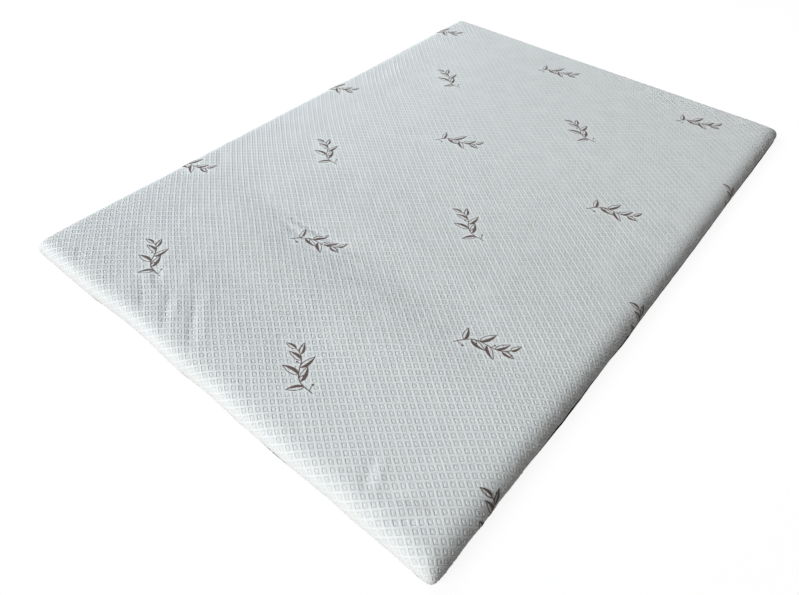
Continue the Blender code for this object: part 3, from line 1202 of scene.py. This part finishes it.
# One overlock stitch: reach outwards, down and along the seam, its bend, and which way it faces
STITCH_OUT = 0.0020
STITCH_DOWN = 0.0028
STITCH_ALONG = 0.0014
STITCH_BEND = 0.0003
STITCH_FACING = (0.81, 0.58, 0.0)
# How unevenly long the stitches are, the seed of that, and the height of their middle
STITCH_UNEVENNESS = 0.12
STITCH_SEED = 3
SEAM_LINE_HEIGHT = 0.0036


def rim_places(out):
    """Return the rim of the cloth, anticlockwise: plan x and y at a distance past the shoulder."""
    places = []
    counts = (round(2 * SHOULDER_X / RIM_PITCH), round(2 * SHOULDER_Y / RIM_PITCH))
    corners = ((1, -1, -90), (1, 1, 0), (-1, 1, 90), (-1, -1, 180))
    for index, (sign_x, sign_y, start) in enumerate(corners):
        power = CORNER_POWERS[sign_x, sign_y]
        for step in range(RIM_CORNER_STEPS + 1):
            turn = math.radians(start + 90 * step / RIM_CORNER_STEPS)
            dx = math.cos(turn)
            dy = math.sin(turn)
            size = (abs(dx) ** power + abs(dy) ** power) ** (1 / power)
            places.append((sign_x * SHOULDER_X, sign_y * SHOULDER_Y, dx / size, dy / size))
        next_x, next_y, _ = corners[(index + 1) % 4]
        count = counts[1] if next_x == sign_x else counts[0]
        way = math.radians(start + 90)
        out_x = round(math.cos(way))
        out_y = round(math.sin(way))
        for step in range(1, count):
            x = sign_x + (next_x - sign_x) * step / count
            y = sign_y + (next_y - sign_y) * step / count
            places.append((x * SHOULDER_X, y * SHOULDER_Y, out_x, out_y))
    table = np.array(places)
    return table[:, 0] + table[:, 2] * out, table[:, 1] + table[:, 3] * out


def base_rim(inset):
    """Return the uneven rim of the base cloth, moved in by the inset, with the peeks that show it
    as a dark line of cloth and painted contact shadow.
    """
    x, y = rim_places(ROUNDING - TUCK - BASE_INSET - inset)
    peek_and_shadow_x = np.zeros_like(x)
    peek_and_shadow_y = np.zeros_like(y)
    for side, middle, half, reach in BASE_AND_SHADOW_PEEKS:
        sign = 1 if side in ("right", "far") else -1
        out = sign * (reach + BASE_INSET)
        if side in ("right", "left"):
            peek_and_shadow_x += np.where(sign * x > SHOULDER_X, out * bump(y - middle, half), 0.0)
        else:
            peek_and_shadow_y += np.where(sign * y > SHOULDER_Y, out * bump(x - middle, half), 0.0)
    x, y = drawn_in(x, y, 1.0 - SEAM_HOLD)
    return x + peek_and_shadow_x, y + peek_and_shadow_y


def base_mesh():
    """Return the base cloth: a thin closed sheet with a rounded rim."""
    thickness = BASE_TOP - BASE_GAP
    shape = bmesh.new()
    loops = []
    for inset, share in BASE_RINGS:
        x, y = base_rim(inset)
        loops.append([shape.verts.new((px, py, share * thickness)) for px, py in zip(x, y)])
    count = len(loops[0])
    for low, high in zip(loops, loops[1:]):
        for index in range(count):
            following = (index + 1) % count
            shape.faces.new((low[index], low[following], high[following], high[index]))
    for ring, height, down in ((loops[0], 0.0, True), (loops[-1], thickness, False)):
        middle = shape.verts.new((0.0, 0.0, height))
        for index in range(count):
            start, end = ring[index], ring[(index + 1) % count]
            shape.faces.new((end, start, middle) if down else (start, end, middle))
    mesh = bpy.data.meshes.new("base_sheet")
    shape.to_mesh(mesh)
    shape.free()
    mesh.shade_smooth()
    mesh.set_sharp_from_angle(angle=SHARP_ANGLE)
    return mesh


def stitch_mesh(thread):
    """Return one overlock stitch, a short bent thread. x points out, y down, z along the seam."""
    sides = 4
    steps = 6
    radius = thread / 2
    out = Vector(STITCH_FACING)
    seamwards = Vector((0.0, 0.0, 1.0))
    points = []
    for step in range(steps):
        share = -1.0 + 2.0 * step / (steps - 1)
        reach = STITCH_OUT * (1.0 - share) - STITCH_BEND * share ** 2
        middle = Vector((reach, STITCH_DOWN * share, STITCH_ALONG * share))
        for side in range(sides):
            angle = 2 * math.pi * (side + 0.5) / sides
            round_thread = out * math.cos(angle) + seamwards * math.sin(angle)
            points.append(middle + radius * round_thread)
    faces = []
    for step in range(steps - 1):
        for side in range(sides):
            a = step * sides + side
            b = step * sides + (side + 1) % sides
            faces.append((a, a + sides, b + sides, b))
    faces.append(tuple(range(sides)))
    faces.append(tuple(reversed(range((steps - 1) * sides, steps * sides))))
    mesh = bpy.data.meshes.new("stitch")
    mesh.from_pydata(points, [], faces)
    mesh.shade_smooth()
    return mesh


def seam_line():
    """Return a closed line of edges along the lower edge of the cover, halfway up the seam."""
    x, y = rim_places(ROUNDING - TUCK)
    x, y = drawn_in(x, y, 1.0 - SEAM_HOLD)
    mesh = bpy.data.meshes.new("seam line")
    count = len(x)
    points = [(px, py, SEAM_LINE_HEIGHT) for px, py in zip(x, y)]
    edges = [(index, (index + 1) % count) for index in range(count)]
    mesh.from_pydata(points, edges, [])
    return mesh


def seam_mesh(seam):
    """Return the stitches of the seam, set along its line by Geometry Nodes."""
    stitch = link_piece("stitch pattern", stitch_mesh(seam.thread))
    sizes = (
        ("Pitch", "NodeSocketFloat", seam.pitch),
        ("Stitch", "NodeSocketObject", stitch),
        ("Unevenness", "NodeSocketFloat", STITCH_UNEVENNESS),
        ("Seed", "NodeSocketInt", STITCH_SEED),
    )
    tree, identifiers = new_geometry_tree("Seam stitches", sizes)
    get = add_node(tree, "NodeGroupInput").outputs
    curve = add_node(tree, "GeometryNodeMeshToCurve", {0: get["Geometry"]}).outputs[0]
    upright = add_node(tree, "GeometryNodeSetCurveNormal", {"Curve": curve}, mode="Z_UP").outputs[0]
    places = add_node(
        tree, "GeometryNodeCurveToPoints", {"Curve": upright, "Length": get["Pitch"]}, mode="LENGTH"
    ).outputs
    pattern = add_node(tree, "GeometryNodeObjectInfo", {"Object": get["Stitch"]}).outputs
    least = math_node(tree, "SUBTRACT", 1.0, get["Unevenness"])
    most = math_node(tree, "ADD", 1.0, get["Unevenness"])
    stitches = add_node(
        tree, "GeometryNodeInstanceOnPoints",
        {
            "Points": places["Points"],
            "Instance": pattern["Geometry"],
            "Rotation": places["Rotation"],
            "Scale": random_node(tree, least, most, get["Seed"]),
        },
    )
    finish_tree(tree, stitches.outputs["Instances"], bpy.data.materials["seam thread"])
    made = run_tree(seam_line(), tree, identifiers, sizes)
    bpy.data.objects.remove(stitch)
    return made


# ---------------------------------------------------------------- cover


def raise_diamonds(net, relief, sprig_net):
    """Wrap the flat net over the foam, its diamonds raised where the knit isn't calm."""
    u, v, _ = mesh_points(net).T
    under_sprigs = calm_values(u, v, mesh_points(sprig_net))
    stretched = stretch_values(u, v)
    calm = stretched + (1.0 - stretched) * under_sprigs
    level = point_values(net, "level")
    level += (CALM_LEVEL - level) * calm
    over = np.maximum(np.abs(u) - SHOULDER_X, np.abs(v) - SHOULDER_Y)
    fade = np.clip((EDGE_REACH - over) / RELIEF_FADE, 0.0, 1.0)
    set_mesh_points(net, wrap_lifted(u, v, (level - CALM_LEVEL) * relief * fade))
    set_point_values(net, "calm", stretched + (1.0 - stretched) * CALM_TINT * under_sprigs)


# ---------------------------------------------------------------- stage


def make_floor(stage):
    """Lay a wide pale floor."""
    mesh = bpy.data.meshes.new("floor")
    corners = [
        (x * FLOOR_REACH, y * FLOOR_REACH, 0.0) for x, y in ((-1, -1), (1, -1), (1, 1), (-1, 1))
    ]
    mesh.from_pydata(corners, [], [(0, 1, 2, 3)])
    floor = link_piece("floor", mesh, floor_material(stage))
    floor.visible_diffuse = False
    floor.visible_glossy = False


def make_light(stage):
    """Hang a broad low light past the near end, and soft lamps on the left and at the near end."""
    flat = math.cos(stage.key_height)
    away = Vector((
        -flat * math.cos(stage.key_turn),
        -flat * math.sin(stage.key_turn),
        math.sin(stage.key_height),
    ))
    middle = Vector()
    hang_lamp(
        "key light", "SUN", stage.key_strength, KEY_COLOUR, away, middle, angle=stage.key_spread
    )
    hang_lamp(
        "fill light", "AREA", stage.fill_power, FILL_COLOUR, Vector(FILL_PLACE), middle,
        shape="DISK", size=FILL_SIZE,
    )
    hang_lamp(
        "near light", "AREA", stage.near_power, NEAR_COLOUR, Vector(NEAR_PLACE), Vector(NEAR_AIM),
        shape="RECTANGLE", size=NEAR_SIZE[0], size_y=NEAR_SIZE[1],
    )


def hang_lamp(name, kind, power, colour, place, aim, **sizes):
    """Add a lamp to the scene, turned to the place it is aimed at."""
    lamp = bpy.data.lights.new(name, kind)
    lamp.energy = power
    lamp.color = colour
    for size, value in sizes.items():
        setattr(lamp, size, value)
    light = bpy.data.objects.new(name, lamp)
    light.location = place
    light.rotation_euler = (place - aim).to_track_quat("Z", "Y").to_euler()
    light.visible_camera = False
    bpy.context.scene.collection.objects.link(light)


def make_world(stage):
    """Fill the room with weak even light, behind a pale backdrop."""
    world = bpy.data.worlds.new("studio")
    world.use_nodes = True
    tree = world.node_tree
    fill = tree.nodes["Background"]
    fill.inputs["Color"].default_value = AMBIENT_COLOUR
    way = add_node(tree, "ShaderNodeTexCoord").outputs["Generated"]
    height = add_node(tree, "ShaderNodeSeparateXYZ", {0: way}).outputs["Z"]
    lit_way = (-math.cos(stage.key_turn), -math.sin(stage.key_turn), 0.0)
    side = vector_node(tree, "DOT_PRODUCT", way, lit_way)["Value"]
    low = add_node(
        tree, "ShaderNodeMapRange",
        {
            "Value": side, "From Min": -BOUNCE_SPREAD, "From Max": BOUNCE_SPREAD,
            "To Min": stage.bounce_shade, "To Max": stage.bounce_lit,
        },
    ).outputs[0]
    strength = add_node(
        tree, "ShaderNodeMapRange",
        {
            "Value": height, "From Min": -HORIZON_SPREAD, "From Max": HORIZON_SPREAD,
            "To Min": low, "To Max": stage.ambient,
        },
    )
    tree.links.new(strength.outputs[0], fill.inputs["Strength"])
    backdrop = add_node(
        tree, "ShaderNodeBackground", {"Color": WHITE, "Strength": BACKDROP_STRENGTH}
    )
    seen = add_node(tree, "ShaderNodeLightPath").outputs["Is Camera Ray"]
    mixed = add_node(tree, "ShaderNodeMixShader", {0: seen})
    tree.links.new(fill.outputs[0], mixed.inputs[1])
    tree.links.new(backdrop.outputs[0], mixed.inputs[2])
    tree.links.new(mixed.outputs[0], tree.nodes["World Output"].inputs[0])
    bpy.context.scene.world = world


def make_camera():
    """Place the camera at the photograph's viewing angle."""
    forward = Vector((
        math.cos(CAMERA_YAW) * math.cos(CAMERA_PITCH),
        math.sin(CAMERA_YAW) * math.cos(CAMERA_PITCH),
        -math.sin(CAMERA_PITCH),
    ))
    level_right = Vector((math.sin(CAMERA_YAW), -math.cos(CAMERA_YAW), 0.0))
    level_up = level_right.cross(forward)
    right = level_right * math.cos(CAMERA_ROLL) + level_up * math.sin(CAMERA_ROLL)
    up = level_up * math.cos(CAMERA_ROLL) - level_right * math.sin(CAMERA_ROLL)
    lens = bpy.data.cameras.new("camera")
    lens.sensor_width = SENSOR_WIDTH
    lens.lens = FOCAL_PIXELS / IMAGE_WIDTH * SENSOR_WIDTH
    lens.clip_end = VIEW_REACH
    camera = bpy.data.objects.new("camera", lens)
    turn = Matrix((right, up, -forward)).transposed()
    camera.matrix_world = Matrix.Translation(CAMERA_PLACE) @ turn.to_4x4()
    bpy.context.scene.collection.objects.link(camera)
    bpy.context.scene.camera = camera


# ---------------------------------------------------------------- operators


class TOPPER_OT_cover(bpy.types.Operator):
    """Knit the cover over the foam"""

    bl_idname = "topper.cover"
    bl_label = "Knitted cover"

    def execute(self, context):
        knit = context.scene.topper_knit
        material = knit_material(knit)
        yarn_material(context.scene.topper_sprigs)
        net = flat_net(knit)
        points = mesh_points(net)
        store_cloth_map(net, points[:, 0], points[:, 1])
        points[:, 0], points[:, 1] = pulled(points[:, 0], points[:, 1])
        set_mesh_points(net, points)
        trim_to_panel(net)
        raise_diamonds(net, knit.relief, flat_sprigs(context.scene.topper_sprigs))
        close_underside(net)
        net.shade_smooth()
        net.set_sharp_from_angle(angle=KNIT_SHARP_ANGLE)
        net.name = "knitted_cover"
        piece = link_piece("knitted_cover", net, material)
        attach(piece, "root")
        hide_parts("filled_cover")
        return {"FINISHED"}


class TOPPER_OT_sprigs(bpy.types.Operator):
    """Lay the leaf sprigs on the cover"""

    bl_idname = "topper.sprigs"
    bl_label = "Leaf sprigs"

    def execute(self, context):
        net = flat_sprigs(context.scene.topper_sprigs)
        u, v, _ = mesh_points(net).T
        store_cloth_map(net, u, v)
        set_mesh_points(net, wrap_lifted(u, v, np.full(len(u), SPRIG_LIFT)))
        piece = link_piece("leaf_sprigs", net, bpy.data.materials["sprig yarn"])
        wall = piece.modifiers.new("thickness", "SOLIDIFY")
        wall.thickness = SPRIG_THICKNESS
        wall.offset = -1.0
        graph = context.evaluated_depsgraph_get()
        piece.data = bpy.data.meshes.new_from_object(piece.evaluated_get(graph))
        piece.modifiers.clear()
        piece.data.name = "leaf_sprigs"
        piece.data.shade_smooth()
        piece.data.set_sharp_from_angle(angle=SHARP_ANGLE)
        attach(piece, "root")
        return {"FINISHED"}


class TOPPER_OT_base(bpy.types.Operator):
    """Cut the base cloth and lay it under the cover"""

    bl_idname = "topper.base"
    bl_label = "Base cloth"

    def execute(self, context):
        seam = context.scene.topper_seam
        # Near-black cloth whose rim, where it peeks out, stands partly for painted contact shadow
        # under the cover
        material = woven_material("base cloth", seam.base_and_shadow_colour, BASE_GRAIN_SCALE)
        piece = link_piece("base_sheet", base_mesh(), material)
        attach(piece, "root")
        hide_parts("base_cloth")
        return {"FINISHED"}


class TOPPER_OT_seam(bpy.types.Operator):
    """Sew the cover to the base cloth"""

    bl_idname = "topper.seam"
    bl_label = "Seam stitches"

    def execute(self, context):
        seam = context.scene.topper_seam
        material = woven_material("seam thread", seam.thread_colour, THREAD_GRAIN_SCALE)
        piece = link_piece("seam_stitches", seam_mesh(seam), material)
        piece.data.name = "seam_stitches"
        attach(piece, "root")
        return {"FINISHED"}


class TOPPER_OT_stage(bpy.types.Operator):
    """Set the floor, the light and the camera"""

    bl_idname = "topper.stage"
    bl_label = "Stage"

    def execute(self, context):
        stage = context.scene.topper_stage
        make_floor(stage)
        make_light(stage)
        make_world(stage)
        make_camera()
        context.scene.view_settings.view_transform = "Standard"
        return {"FINISHED"}


# ---------------------------------------------------------------- panel and registration


class TOPPER_PT_panel(bpy.types.Panel):
    """Sizes, colours and building steps of the topper"""

    bl_idname = "TOPPER_PT_panel"
    bl_label = "Mattress topper"
    bl_space_type = "VIEW_3D"
    bl_region_type = "UI"
    bl_category = "Topper"

    def draw(self, context):
        scene = context.scene
        groups = (
            (scene.topper_knit, ("topper.cover",)),
            (scene.topper_sprigs, ("topper.sprigs",)),
            (scene.topper_seam, ("topper.base", "topper.seam")),
            (scene.topper_stage, ("topper.stage",)),
        )
        for settings, steps in groups:
            box = self.layout.box()
            for name in settings.bl_rna.properties.keys():
                if name not in ("rna_type", "name"):
                    box.prop(settings, name)
            for step in steps:
                box.operator(step)


CLASSES = (
    TopperKnitSettings,
    TopperSprigSettings,
    TopperSeamSettings,
    TopperStageSettings,
    TOPPER_OT_cover,
    TOPPER_OT_sprigs,
    TOPPER_OT_base,
    TOPPER_OT_seam,
    TOPPER_OT_stage,
    TOPPER_PT_panel,
)
SETTINGS = {
    "topper_knit": TopperKnitSettings,
    "topper_sprigs": TopperSprigSettings,
    "topper_seam": TopperSeamSettings,
    "topper_stage": TopperStageSettings,
}


def register():
    """Register the classes and add the settings to the scene."""
    for cls in CLASSES:
        bpy.utils.register_class(cls)
    for name, kind in SETTINGS.items():
        setattr(bpy.types.Scene, name, bpy.props.PointerProperty(type=kind))


def unregister():
    """Take the settings and the classes away."""
    for name in SETTINGS:
        delattr(bpy.types.Scene, name)
    for cls in reversed(CLASSES):
        bpy.utils.unregister_class(cls)


def main():
    """Build the topper and its stage."""
    register()
    bpy.ops.topper.stage()
    bpy.ops.topper.cover()
    bpy.ops.topper.sprigs()
    bpy.ops.topper.base()
    bpy.ops.topper.seam()


if __name__ == "__main__":
    main()
